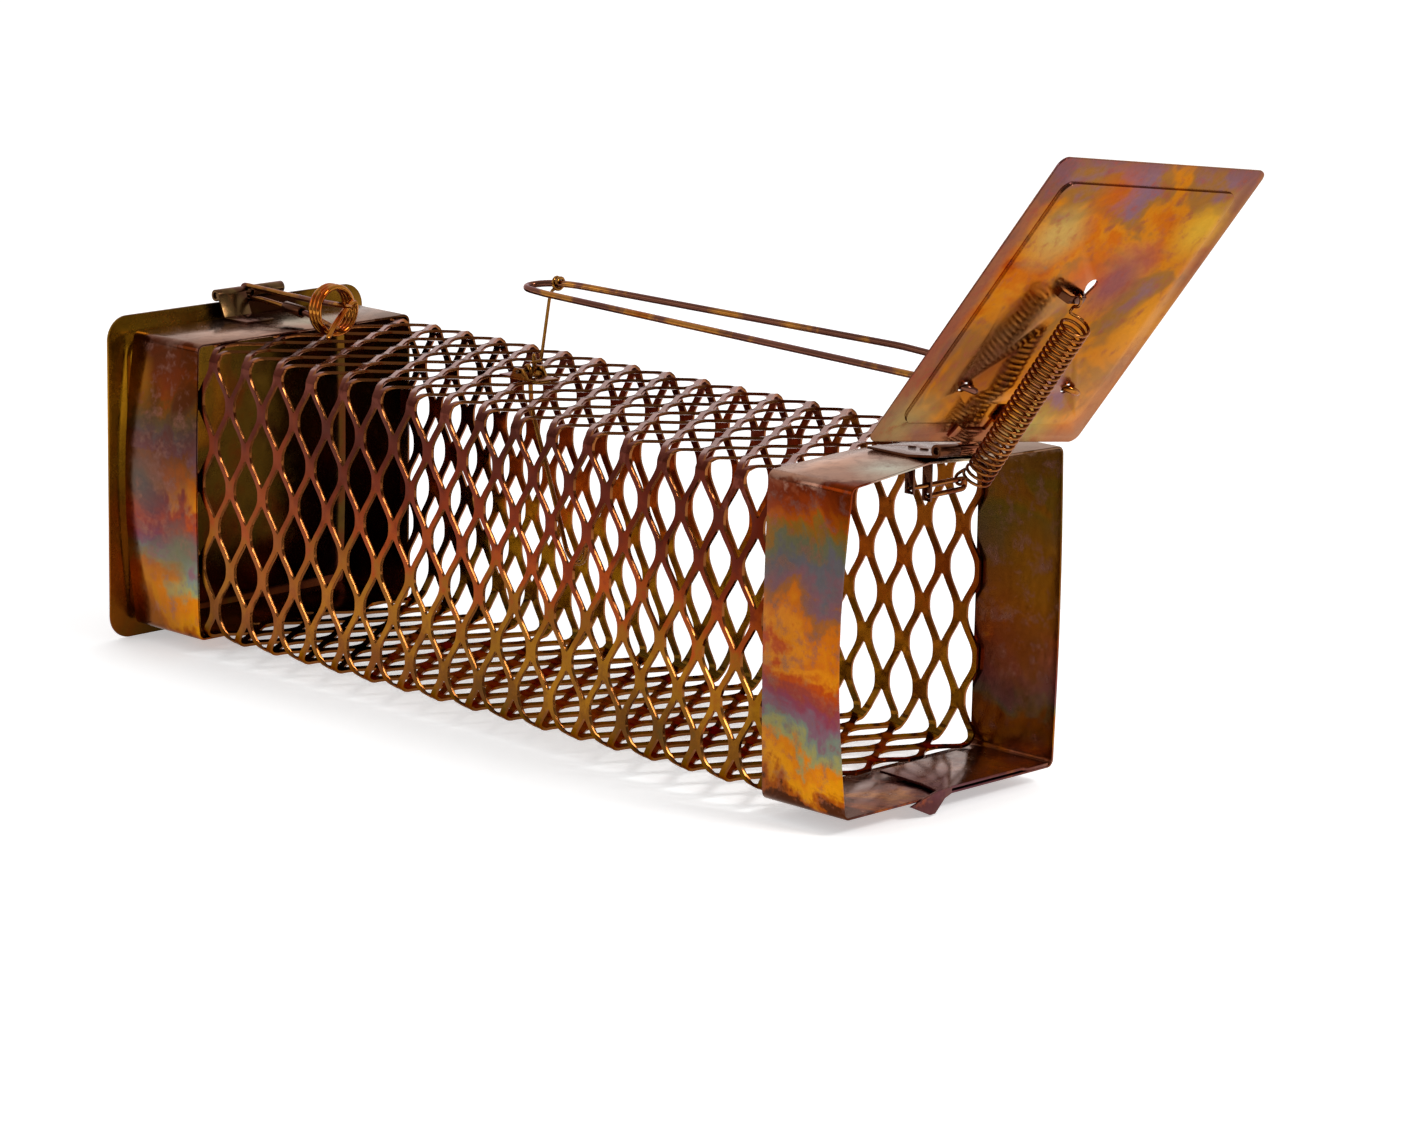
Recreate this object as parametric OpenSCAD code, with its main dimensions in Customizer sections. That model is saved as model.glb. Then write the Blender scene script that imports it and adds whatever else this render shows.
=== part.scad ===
// Live-capture cage trap for rats. X runs towards the drop door, Y across and Z up.
// The origin is the middle of the front sill's underside.
// The parts are drawn with the trap set: the drop door is held open by its lever.

/* [Cage] */
// Length of the cage between the outer edges of its two end frames
cage_l = 327.6; // [240:0.2:420]
// Width of the cage over its end frames
cage_w = 93.4; // [86:0.2:120]
// Height of the cage at its corners
cage_h = 100; // [92:0.5:120]
// Outer radius of the cage's long edges
corner_r = 2.6; // [2.6:0.1:6]
// Thickness of every sheet part
sheet_t = 0.8; // [0.6:0.05:1.0]
// Length of the front frame along the cage
front_l = 33.3; // [30:0.1:45]
// Length of the rear frame along the cage
rear_l = 33.5; // [28:0.1:45]
// How far the frames' free edges belly outwards on the near side
side_bow = 4; // [0:0.5:5]
// Rise of the front frame's top under the hinge strap
crown = 2; // [1.5:0.1:3]

/* [Expanded mesh] */
// Thickness of the expanded sheet
mesh_t = 1.2; // [0.8:0.1:1.5]
// Width of a strand, measured along the cage; a bond is two strands wide
strand_w = 2.6; // [1.8:0.1:3.4]
// Length of a bond, round the cage
bond_l = 4.2; // [3:0.1:6]
// Width of a mesh, across the cage's length
mesh_sw = 16.06; // [13:0.01:20]
// Length of a mesh, round the cage
mesh_lw = 27.66; // [22:0.02:32]
// How far the mesh runs into each end frame
mesh_tuck = 6; // [4:0.5:9]
// Depth of the uppermost row of bonds on the near wall below the cage's corners
first_row_down = 4.7; // [2:0.1:12]

/* [Sill] */
// Width of the lap across the sill
lap_w = 46.4; // [30:0.2:50]
// Height of the raised half of the lap over the sill
lap_rise = 0.7; // [0.5:0.1:1.5]
// Drop of the folded lock tab below the sill
tab_drop = 4.6; // [2:0.1:4.9]

/* [Drop door] */
// Width of the drop door
door_w = 96.7; // [90:0.1:110]
// Height of the drop door
door_h = 105.5; // [100:0.1:112]
// Corner radius of the drop door
door_r = 3.2; // [2:0.1:8]
// Width of the flat border round the pressed panel
door_border = 8; // [5:0.5:12]
// Depth of the pressed panel
panel_depth = 1; // [0.5:0.1:1.5]
// Gap between the closed door and the front frame
door_gap = 1.1; // [1.0:0.1:2]
// Angle through which the door opens
open_angle = 146.7; // [120:0.1:150]
// Slant of the door's hinge pin from level
cant = 4.3; // [0:0.1:5]

/* [Drop door hinge] */
// Height of the hinge pin over the cage's corners
pin_up = 5.4; // [5:0.1:8]
// Distance of the hinge pin in front of the front frame
pin_out = 2; // [1.6:0.1:3]
// Diameter of the hinge pins
pin_d = 2.2; // [1.6:0.1:2.4]
// Radial clearance of a moving knuckle on its pin
pin_fit = 0.08; // [0.03:0.01:0.10]
// Half the width of the hinge strap
strap_hw = 13; // [10:0.5:18]
// Length of the hinge strap behind the pin
strap_l = 27; // [20:0.5:32]
// Half the width of the door's knuckle
knuckle_hw = 4; // [3:0.5:6]
// Side clearance between knuckles
knuckle_gap = 0.3; // [0.2:0.05:0.6]

/* [Spring] */
// Outer diameter of the spring
spring_d = 10.4; // [8:0.1:10.8]
// Diameter of the spring's wire
spring_wire = 1.1; // [0.8:0.05:1.2]
// Number of curls
curls = 29; // [20:1:36]
// Height of the door's spring bridge above the closed door's lower edge
bridge_up = 47.5; // [40:0.5:60]
// Sideways place of the bridge on the door
bridge_y = -5; // [-10:0.5:0]
// Depth of the spring anchor below the cage's corners
anchor_down = 4.4; // [3:0.2:7]
// Diameter of the anchor wire
anchor_d = 1.6; // [1.2:0.1:1.8]

/* [Lever] */
// Diameter of the lever wire
lever_d = 2.2; // [1.8:0.1:2.6]
// Reach of the lever behind the hinge pin
lever_reach = 187.5; // [150:0.5:220]
// Height of the lever's tip over the cage
lever_up = 29.4; // [24:0.2:40]
// Distance of the lever's holes from the door's hinge edge
lever_hole_down = 22; // [16:0.5:30]
// Half the spread of the lever's holes
lever_hole_y = 24; // [16:0.5:30]
// Half the spread of the rods at the tip
tip_hw = 6; // [4:0.5:9]

/* [Trigger] */
// Diameter of the trigger link's wire
link_d = 1.1; // [0.9:0.1:1.4]
// Distance of the trigger clip behind the origin
clip_x = 168.5; // [152.5:16:184.5]
// Diameter of the bait hook's wire
hook_d = 1.6; // [1.2:0.1:2]
// Depth to which the bait hook hangs below the cage's top
hook_drop = 58; // [40:1:70]

/* [Rear cover] */
// Width of the rear cover
cover_w = 112; // [100:0.5:120]
// How far the cover overhangs the cage above and below
cover_over = 5; // [4.6:0.1:8]
// Corner radius of the rear cover
cover_r = 8; // [5:0.5:12]
// Gap between the cover and the rear frame
cover_gap = 3.1; // [2.8:0.1:4]
// Height of the rear hinge pin over the cage's corners
rear_pin_up = 7.6; // [7.2:0.1:9]
// Length of the fixed rear knuckle
rear_knuckle_l = 12; // [8:0.5:14]
// Length of the cover's knuckle
cover_knuckle_l = 13.6; // [10:0.2:18]
// Diameter of the keeper's wire
keeper_d = 2; // [1.6:0.1:2.4]
// Reach of the keeper in front of the rear frame's edge
keeper_reach = 56; // [52:1:64]
// Height of the keeper's upper leg over the cage
keeper_up = 9.4; // [8:0.2:12]
// Mean radius of the tie ring
ring_r = 8; // [7.5:0.25:9]

/* [Hidden] */
$fn = 48;

eps = 0.01;
copper = [0.72, 0.42, 0.22];
gold = [0.80, 0.56, 0.25];
mauve = [0.62, 0.48, 0.50];
umber = [0.45, 0.26, 0.16];

front_x = front_l / 2;
rear_x = front_x - cage_l;
flat_y = cage_w / 2 - corner_r;
flat_z = cage_h - corner_r;
first_row_z = cage_h - first_row_down;

// Places of the expanded sheet round the cage, measured along it from the first row of bonds
row = mesh_lw / 2;
col = mesh_sw / 2;
mesh_x0 = rear_x + rear_l - mesh_tuck;
mesh_x1 = front_x - front_l + mesh_tuck;
mesh_out = corner_r - sheet_t;
mesh_in = mesh_out - mesh_t;
mesh_mid = mesh_out - mesh_t / 2;
arc = mesh_mid * PI / 2;
s_near_top = flat_z - first_row_z;
s_near_foot = corner_r - first_row_z;
s_top_near = s_near_top + arc;
s_top_far = s_top_near + 2 * flat_y;
s_far_top = s_top_far + arc;
s_far_foot = s_far_top + flat_z - corner_r;
s_floor_near = s_near_foot - arc;
s_floor_far = s_floor_near - 2 * flat_y;
hole_x = col - strand_w;
hole_s = row - bond_l / 2;
selvage = 1.2;
hole_lo = mesh_x0 + selvage;
hole_hi = mesh_x1 - selvage;
first_column = rear_x + 40.54;

// Hinge line of the drop door, and the closed door's planes
pin = [front_x + pin_out, 0, cage_h + pin_up];
knuckle_r = pin_d / 2 + sheet_t + 0.1;
door_in = front_x + door_gap;
door_out = door_in + sheet_t;
door_top = cage_h + pin_up - 3.5;
door_low = door_top - door_h;
panel_in = door_in - panel_depth;
strap_z = cage_h + crown - pin[2];

// Spring ends. The lower hook turns on the anchor wire's upper leg, near its closed end.
anchor_x = front_x - 1.45;
anchor_end = 1.5;
anchor_r = 1.6;
anchor = [anchor_x, anchor_end, cage_h - anchor_down];
anchor_mid = anchor[2] - anchor_r;
bridge_rise = 2.2;
bridge_x = panel_in - bridge_rise - sheet_t / 2;
bridge_z = door_low + bridge_up;
coil_r = (spring_d - spring_wire) / 2;
coil_shift = coil_r + 0.05;

// Lever and trigger
hole_z = door_top - lever_hole_down;
tip = [pin[0] - lever_reach, 0, cage_h + lever_up];
elbow = 14;
eye_x = tip[0] + 7;
clip = [-clip_x, 0, cage_h - sheet_t];
clip_up = 3.4;
hook_pin_z = clip[2] + sheet_t + 1.9;

// Rear cover and its hinge
cover_in = rear_x - cover_gap;
rear_pin = [cover_in + 0.6, 0, cage_h + rear_pin_up];
rear_r = pin_d / 2 + sheet_t + 0.1;
rear_y0 = -9.2;
cover_y0 = 6.3;
cover_y = 1.3;

// Vector helpers
function unit(v) = v / norm(v);
function turn_x(a, v) = [v[0], v[1] * cos(a) - v[2] * sin(a), v[1] * sin(a) + v[2] * cos(a)];
function turn_y(a, v) = [v[0] * cos(a) + v[2] * sin(a), v[1], v[2] * cos(a) - v[0] * sin(a)];
// A point of the closed door, carried to the open position about the slanted pin
function opened(p) = pin + turn_x(-cant, turn_y(-open_angle, turn_x(cant, p - pin)));
function lerp(a, b, t) = a + (b - a) * t;
// Corners of a wire's route, each rounded by a bend of reach r
function bent(p, r, n = 4) = [for (i = [0:len(p) - 1])
    each (i == 0 || i == len(p) - 1 ? [p[i]] :
    let (q = p[i], a = q + min(r, norm(p[i - 1] - q) * 0.45) * unit(p[i - 1] - q),
        b = q + min(r, norm(p[i + 1] - q) * 0.45) * unit(p[i + 1] - q))
    [for (k = [0:n]) let (t = k / n) (1 - t) * (1 - t) * a + 2 * t * (1 - t) * q + t * t * b])];
function tangent(p, i) = unit(p[min(i + 1, len(p) - 1)] - p[max(i - 1, 0)]);
function square_to(v, t) = unit(v - (v * t) * t);
function first_side(t) = square_to(abs(t[2]) < 0.8 ? [0, 0, 1] : [1, 0, 0], t);

// A round wire swept along a route
module wire(p, d, sides = 8) {
    n = len(p);
    t = [for (i = [0:n - 1]) tangent(p, i)];
    u = [for (i = 0, s = first_side(t[0]); i < n; i = i + 1, s = i < n ? square_to(s, t[i]) : s) s];
    points = [for (i = [0:n - 1]) for (k = [0:sides - 1])
        p[i] + d / 2 * (cos(360 * k / sides) * u[i] + sin(360 * k / sides) * cross(t[i], u[i]))];
    skin = [for (i = [0:n - 2]) for (k = [0:sides - 1]) let (a = i * sides + k,
        b = i * sides + (k + 1) % sides) each [[a, a + sides, b], [b, a + sides, b + sides]]];
    start = [for (k = [1:sides - 2]) [0, k, k + 1]];
    stop = [for (k = [1:sides - 2]) let (a = (n - 1) * sides) [a, a + k + 1, a + k]];
    polyhedron(points, concat(skin, start, stop), convexity = 10);
}

module round_rect(w, h, r) {
    square([w - 2 * r, h], center = true);
    square([w, h - 2 * r], center = true);
    for (x = [-1, 1]) for (y = [-1, 1]) translate([x * (w / 2 - r), y * (h / 2 - r)]) circle(r);
}

// Extrudes a shape drawn in Y and Z forwards along X
module along_x(x0, l) translate([x0, 0, 0]) rotate([90, 0, 90]) linear_extrude(l) children();
// Extrudes a shape drawn in X and Z along Y
module along_y(y0, l) translate([0, y0 + l, 0]) rotate([90, 0, 0]) linear_extrude(l) children();
module rod_y(y0, l, r) translate([0, y0, 0]) rotate([-90, 0, 0]) cylinder(l, r, r);
module at_pin() translate(pin) rotate([-cant, 0, 0]) children();
module open_door() translate(pin) rotate([-cant, 0, 0]) rotate([0, -open_angle, 0])
    rotate([cant, 0, 0]) translate(-pin) children();

// End frames: a sheet sleeve with its own belly on the sides and crown on the top
frame_seg = 5;
top_ys = [flat_y * 0.68, strap_hw, 0, -strap_hw, -flat_y * 0.68];
side_k = [0.125, 0.25, 0.375, 0.5, 0.625, 0.75, 0.875];
function corner_run(cy, cz, a0, r) = [for (j = [0:frame_seg]) let (a = a0 + 90 * j / frame_seg)
    [cy + r * cos(a), cz + r * sin(a)]];
function frame_ring(r) = concat(
    corner_run(flat_y, corner_r, -90, r),
    [for (k = side_k) [flat_y + r, lerp(corner_r, flat_z, k)]],
    corner_run(flat_y, flat_z, 0, r),
    [for (y = top_ys) [y, flat_z + r]],
    corner_run(-flat_y, flat_z, 90, r),
    [for (k = side_k) [-flat_y - r, lerp(flat_z, corner_r, k)]],
    corner_run(-flat_y, corner_r, 180, r));
function crown_at(y) = let (k = max(0, min(1, (flat_y - abs(y)) / (flat_y - strap_hw))))
    (crown - tan(cant) * max(-strap_hw, min(strap_hw, y))) * k;
function belly(z) = z > corner_r && z < flat_z ? sin(180 * (z - corner_r) / (flat_z - corner_r)) : 0;
function shaped(q, bow, far_bow, rise) = [
    q[0] + (q[0] < 0 ? -bow : far_bow) * (abs(q[0]) > flat_y + mesh_in ? belly(q[1]) : 0),
    q[1] + (q[1] > flat_z + mesh_in && abs(q[0]) < flat_y ? rise * crown_at(q[0]) : 0)];

// Stations are [x, near belly, far belly, crown] and run forwards
module frame_shell(stations) {
    outer = frame_ring(corner_r);
    inner = frame_ring(corner_r - sheet_t);
    m = len(outer);
    n = len(stations);
    points = [for (s = stations) each concat(
        [for (q = outer) let (v = shaped(q, s[1], s[2], s[3])) [s[0], v[0], v[1]]],
        [for (q = inner) let (v = shaped(q, s[1], s[2], s[3])) [s[0], v[0], v[1]]])];
    function quad(a, b, c, d) = [[a, b, c], [a, c, d]];
    faces = [for (i = [0:m - 1]) let (j = (i + 1) % m, e = (n - 1) * 2 * m) each concat(
        [for (k = [0:n - 2]) let (o = k * 2 * m) each concat(
            quad(o + i, o + 2 * m + i, o + 2 * m + j, o + j),
            quad(o + m + j, o + 3 * m + j, o + 3 * m + i, o + m + i))],
        quad(i, j, m + j, m + i),
        quad(e + i, e + m + i, e + m + j, e + j))];
    polyhedron(points, faces, convexity = 6);
}

module front_frame() {
    color(copper) frame_shell([for (k = [0:3])
        [front_x - front_l * (1 - k / 3), side_bow * (0.25 + 0.25 * k), 0.25 + 0.25 * k,
            k == 0 ? 0.4 : 1]]);
}

module rear_frame() {
    color(copper) frame_shell([for (k = [0:3])
        [rear_x + rear_l * k / 3, side_bow * (1 - 0.25 * k), 1 - 0.25 * k, 0]]);
}

// The far end of the front frame's sheet lies over the near end on the sill. The corner of the
// lap is folded over the sill's edge and down as a lock tab.
lap_edge = flat_y - lap_w;
module sill_lap() {
    x0 = mesh_x1 + 0.6;
    foot = 9;
    z0 = sheet_t + lap_rise;
    color(mauve) {
        along_x(x0, front_x - x0) polygon([[flat_y, sheet_t], [flat_y, 2 * sheet_t],
            [flat_y - foot, 2 * sheet_t], [flat_y - foot - 3, z0 + sheet_t],
            [lap_edge, z0 + sheet_t], [lap_edge, z0], [flat_y - foot - 3, z0],
            [flat_y - foot, sheet_t]]);
        translate([0, 0, z0]) linear_extrude(sheet_t) polygon([[front_x, lap_edge + 4],
            [x0, lap_edge + 1], [x0, lap_edge - eps], [front_x - 8, lap_edge - 1.5],
            [front_x, lap_edge - 4], [front_x + sheet_t, lap_edge - 4],
            [front_x + sheet_t, lap_edge + 2], [front_x, lap_edge + 2]]);
        along_x(front_x + 0.05, sheet_t - 0.05) polygon([[lap_edge + 2, z0 + sheet_t],
            [lap_edge - 4, z0 + sheet_t], [lap_edge - 16, -0.7], [lap_edge - 7.5, -tab_drop],
            [lap_edge - 5.2, -tab_drop], [lap_edge - 1, -0.6], [lap_edge + 2, 0.4]]);
    }
}

// Openings of the expanded sheet between s0 and s1, drawn flat in X and s. Bond rows are
// staggered, so each opening lies between four bonds.
module flat_holes(s0, s1) {
    intersection() {
        translate([mesh_x0, s0]) square([mesh_x1 - mesh_x0, s1 - s0]);
        for (k = [ceil((s0 - hole_s) / row):floor((s1 + hole_s) / row)])
            for (x = columns(k)) polygon(opening(x, k * row));
    }
}
function columns(k) = let (x0 = first_column + (k % 2 == 0 ? 0 : col))
    [for (i = [ceil((hole_lo - hole_x - x0) / mesh_sw):floor((hole_hi + hole_x - x0) / mesh_sw)])
        let (x = x0 + i * mesh_sw) if (x + hole_x > hole_lo + 1 && x - hole_x < hole_hi - 1) x];
// Half the height of an opening at a distance d from its middle, and half its width there
function half_s(d) = hole_s - (hole_s - bond_l / 2) * abs(d) / hole_x;
function half_x(d) = hole_x * min(1, max(0, (hole_s - abs(d)) / (hole_s - bond_l / 2)));
// A mesh opening, cut off square where the selvage begins
function opening(x, s) = let (a = max(x - hole_x, hole_lo), b = min(x + hole_x, hole_hi),
    whole = a < x && b > x) concat(
    [[a, s - half_s(a - x)], [a, s + half_s(a - x)]], whole ? [[x, s + hole_s]] : [],
    [[b, s + half_s(b - x)], [b, s - half_s(b - x)]], whole ? [[x, s - hole_s]] : []);

// Openings in a long edge of the mesh, where the sheet's run s0 to s1 bends over a quarter turn.
// The bend's middle faces up, and each opening is cut square to it.
module bend_holes(s0, s1) {
    intersection() {
        translate([mesh_x0, 0, 0]) rotate([45, 0, 0])
            translate([0, -eps, -eps]) cube([mesh_x1 - mesh_x0, mesh_out + 1, mesh_out + 1]);
        for (k = [ceil((s0 - hole_s) / row):floor((s1 + hole_s) / row)])
            if (min(s1, k * row + hole_s) - max(s0, k * row - hole_s) > 0.4)
                for (x = columns(k)) if (x > hole_lo && x < hole_hi) linear_extrude(mesh_out + 2)
                    polygon(bent_opening(x, k * row, s0, s1));
    }
}
// Place across the bend of a point at s; past the bend's ends the opening runs on by 1 mm
function over_bend(s, s0, s1) = s <= s0 ? -mesh_out * sin(45) - 1 : s >= s1 ? mesh_out * sin(45) + 1
    : mesh_mid * sin((s - (s0 + s1) / 2) / mesh_mid * 180 / PI);
function bent_opening(x, s, s0, s1) = let (
    a = max(s0, s - hole_s), b = min(s1, s + hole_s), n = 6,
    run = [for (i = [0:n]) let (v = lerp(a, b, i / n))
        [max(0.15, half_x(v - s) - 2 * eps), over_bend(v, s0, s1)]]) concat(
    [for (q = run) [max(x - q[0], hole_lo), q[1]]],
    [for (i = [n:-1:0]) [min(x + run[i][0], hole_hi), run[i][1]]]);
module at_edge(y, z, a) translate([0, y, z]) rotate([a, 0, 0]) children();

// Profile of a side wall with its two bent edges, in Y and Z; d is -1 for the near side
function wall_run(d, r) = d < 0
    ? concat(corner_run(-flat_y, flat_z, 90, r), corner_run(-flat_y, corner_r, 180, r))
    : concat(corner_run(flat_y, corner_r, -90, r), corner_run(flat_y, flat_z, 0, r));
module wall_profile(d) {
    inner = wall_run(d, mesh_in);
    polygon(concat(wall_run(d, mesh_out), [for (i = [len(inner) - 1:-1:0]) inner[i]]));
}

module mesh_left() {
    color(gold) difference() {
        along_x(mesh_x0, mesh_x1 - mesh_x0) wall_profile(-1);
        translate([0, 1 - flat_y - mesh_in, first_row_z]) rotate([90, 0, 0])
            linear_extrude(mesh_t + 2) flat_holes(s_near_foot, s_near_top);
        at_edge(-flat_y, flat_z, 45) bend_holes(s_near_top, s_top_near);
        at_edge(-flat_y, corner_r, 135) bend_holes(s_floor_near, s_near_foot);
    }
}

// The sheet's two ends meet in a plain strip above this wall's lower bend
module mesh_right() {
    color(gold) difference() {
        along_x(mesh_x0, mesh_x1 - mesh_x0) wall_profile(1);
        translate([0, flat_y + mesh_in - 1, flat_z + s_far_top]) rotate([-90, 0, 0])
            linear_extrude(mesh_t + 2) flat_holes(s_far_top, s_far_foot - selvage);
        at_edge(flat_y, flat_z, -45) bend_holes(s_top_far, s_far_top);
        at_edge(flat_y, corner_r, -135) bend_holes(s_floor_far - arc, s_floor_far);
    }
}

// Flat sheet between the bends
module mesh_sheet(s0, s1) linear_extrude(mesh_t) difference() {
    translate([mesh_x0, s0]) square([mesh_x1 - mesh_x0, s1 - s0]);
    flat_holes(s0, s1);
}

module mesh_top() {
    color(mauve) translate([0, -flat_y - s_top_near, cage_h - sheet_t - mesh_t])
        mesh_sheet(s_top_near, s_top_far);
}

module mesh_floor() {
    color(umber) translate([0, s_floor_near - flat_y, sheet_t + mesh_t]) rotate([180, 0, 0])
        mesh_sheet(s_floor_far, s_floor_near);
}

// Hinge strap: lies on the crowned top, rises to the pin and curls round it
rivet_xs = [-21, -16.2];
rivet_r = 0.8;
module hinge_strap() {
    lift = 11;
    bore = knuckle_hw + knuckle_gap;
    color(mauve) at_pin() difference() {
        union() {
            along_y(-strap_hw, 2 * strap_hw) polygon([[-strap_l, strap_z + 0.03],
                [-lift, strap_z + 0.03], [0, -knuckle_r], [0, -knuckle_r + sheet_t],
                [-lift, strap_z + sheet_t + 0.03], [-strap_l, strap_z + sheet_t + 0.03]]);
            rod_y(-strap_hw, 2 * strap_hw, knuckle_r);
        }
        rod_y(-strap_hw - 1, 2 * strap_hw + 2, pin_d / 2);
        translate([-4, -bore, -5]) cube([8, 2 * bore, 10]);
        for (x = rivet_xs) translate([x, 0, strap_z - 1]) cylinder(3, rivet_r + 0.05, rivet_r + 0.05);
    }
}

module strap_rivet(i) {
    color(umber) at_pin() translate([rivet_xs[i], 0, strap_z + 0.03]) {
        cylinder(sheet_t + 0.3, rivet_r, rivet_r);
        translate([0, 0, sheet_t]) cylinder(0.4, 1.4, 1.1);
    }
}

module hinge_pin() {
    color(umber) at_pin() rod_y(1 - strap_hw, 2 * strap_hw - 2, pin_d / 2);
}

// Two lugs hang under the crown and hold the spring's anchor wire
lug_ys = [-12.4, -20];
lug_back = 2.2;
lug_front = 1.2;
module anchor_lug(i) {
    y = lug_ys[i];
    roof = cage_h - sheet_t + crown_at(y + sheet_t / 2) - 0.06;
    low = anchor_mid + (i == 0 ? -anchor_r : anchor_r) - 1.6;
    color(umber) difference() {
        translate([anchor_x - lug_back, y, low]) cube([lug_back + lug_front, sheet_t, roof - low]);
        for (z = [anchor_mid - anchor_r, anchor_mid + anchor_r])
            translate([anchor_x, y - 1, z]) rod_y(0, 3, anchor_d / 2 + 0.04);
    }
}

module spring_anchor() {
    y1 = anchor_end + 0.9;
    route = concat([[anchor_x, lug_ys[1] - 1.2, anchor_mid + anchor_r]],
        [for (i = [0:8]) let (a = 90 - 22.5 * i)
            [anchor_x, y1 + anchor_r * cos(a), anchor_mid + anchor_r * sin(a)]],
        [[anchor_x, lug_ys[0] - 1.2, anchor_mid - anchor_r]]);
    color(umber) wire(route, anchor_d, 10);
}

// Drop door, drawn closed in front of the mouth and then turned open about the pin
panel_w = door_w - 2 * door_border;
panel_h = door_h - 2 * door_border;
door_mid_z = door_low + door_h / 2;
slot_y = 1.8;
slot_z = door_low + 44;
module door_plate() {
    color(copper) open_door() difference() {
        union() {
            along_x(door_in, sheet_t) translate([0, door_mid_z]) difference() {
                round_rect(door_w, door_h, door_r);
                round_rect(panel_w - 2 * sheet_t, panel_h - 2 * sheet_t, 3.2);
            }
            along_x(panel_in, panel_depth + eps) translate([0, door_mid_z]) difference() {
                round_rect(panel_w, panel_h, 4);
                round_rect(panel_w - 2 * sheet_t, panel_h - 2 * sheet_t, 3.2);
            }
            along_x(panel_in, sheet_t) translate([0, door_mid_z])
                round_rect(panel_w - sheet_t, panel_h - sheet_t, 3.6);
        }
        for (y = [-lever_hole_y, lever_hole_y]) translate([panel_in - 1, y, hole_z])
            rotate([0, 90, 0]) cylinder(4, lever_d / 2 + 0.75, lever_d / 2 + 0.75);
        translate([panel_in - 1, slot_y, slot_z]) rotate([0, 90, 0]) cylinder(4, 2.1, 2.1);
        along_x(panel_in - 1, 4) polygon([[slot_y - 2, slot_z + 0.6], [slot_y, slot_z + 6],
            [slot_y + 2, slot_z + 0.6]]);
        along_x(panel_in - 1, 4) polygon([[-10, window_z], [3, window_z],
            [1.5, window_z + 11], [-8, window_z + 11]]);
    }
}
window_z = door_top - 15.8;

// Leaf on the door's outer face. It narrows between the strap's ears and curls round the pin.
module door_leaf() {
    throat = pin[2] - knuckle_r + 0.45;
    color(mauve) open_door() difference() {
        union() {
            along_x(door_out, sheet_t) polygon([[-12, door_top - 20], [8, door_top - 20],
                [8, door_top - 4], [knuckle_hw - 0.4, door_top - 0.4], [knuckle_hw - 0.4, throat],
                [-knuckle_hw + 0.4, throat], [-knuckle_hw + 0.4, door_top - 0.4],
                [-12, door_top - 4]]);
            at_pin() rod_y(-knuckle_hw, 2 * knuckle_hw, knuckle_r);
        }
        at_pin() rod_y(-knuckle_hw - 1, 2 * knuckle_hw + 2, pin_d / 2 + pin_fit);
    }
}

// Small triangular flap turned up beside the leaf's window
module door_gusset() {
    color(umber) open_door() along_x(door_in - sheet_t, sheet_t) polygon([[-13.5, door_top - 7],
        [-14.5, door_top - 2.5], [-4.4, door_top - 3]]);
}

// Lanced bridge on the pressed panel that takes the spring's upper hook
module spring_bridge() {
    half = 3.6;
    far = panel_in - bridge_rise - sheet_t;
    color(umber) open_door() translate([0, bridge_y, bridge_z - 1.25]) linear_extrude(2.5)
        polygon([[panel_in, half + 1.6], [panel_in, half + 0.6], [far + sheet_t, half - 0.6],
            [far + sheet_t, 0.6 - half], [panel_in, -half - 0.6], [panel_in, -half - 1.6],
            [far, -half], [far, half]]);
}

// Tension spring. Its two hooks lie on the line from the anchor to the bridge, and the curls
// hang below that line, clear of the door.
hook_a = anchor;
hook_b = opened([bridge_x, bridge_y, bridge_z]);
axis_u = unit(hook_b - hook_a);
axis_n = square_to(-opened([0, 0, 0]) + opened([-1, 0, 0]), axis_u);
axis_v = cross(axis_u, axis_n);
hook_l = norm(hook_b - hook_a);
lower_hook = (anchor_d + spring_wire) / 2 + 0.3;
upper_hook = 2.05;
coil_0 = 4.6;
coil_1 = hook_l - 5.0;
rings = 8;
function on_axis(a, n, v) = hook_a + a * axis_u + n * axis_n + v * axis_v;
function coil_point(i) = let (a = 360 * i / rings - 180) on_axis(
    lerp(coil_0, coil_1, i / (curls * rings)), coil_shift + coil_r * cos(a), coil_r * sin(a));
spring_route = concat(
    [for (i = [0:8]) let (a = 40 + 25 * i) on_axis(lower_hook * cos(a), lower_hook * sin(a), 0)],
    [on_axis(0.4, -lower_hook, 0), on_axis(2.2, -0.9, 0)],
    [for (i = [0:curls * rings]) coil_point(i)],
    [on_axis(hook_l - 3.4, 0, 0.9),
        for (i = [0:7]) let (a = 90 - 25 * i + 20) on_axis(hook_l + upper_hook * cos(a + 60),
            upper_hook * sin(a + 60) * 0.98, 0.2 - 0.05 * i)]);

last = len(spring_route) - 1;
least_gap = min([for (i = [0:last - 5]) for (j = [i + 5:min(i + 2 * rings, last)])
    norm(spring_route[i] - spring_route[j])]) - spring_wire;
echo(str("least gap of the spring to itself: ", least_gap, " mm"));

module door_spring() color(umber) wire(spring_route, spring_wire, 6);

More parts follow.
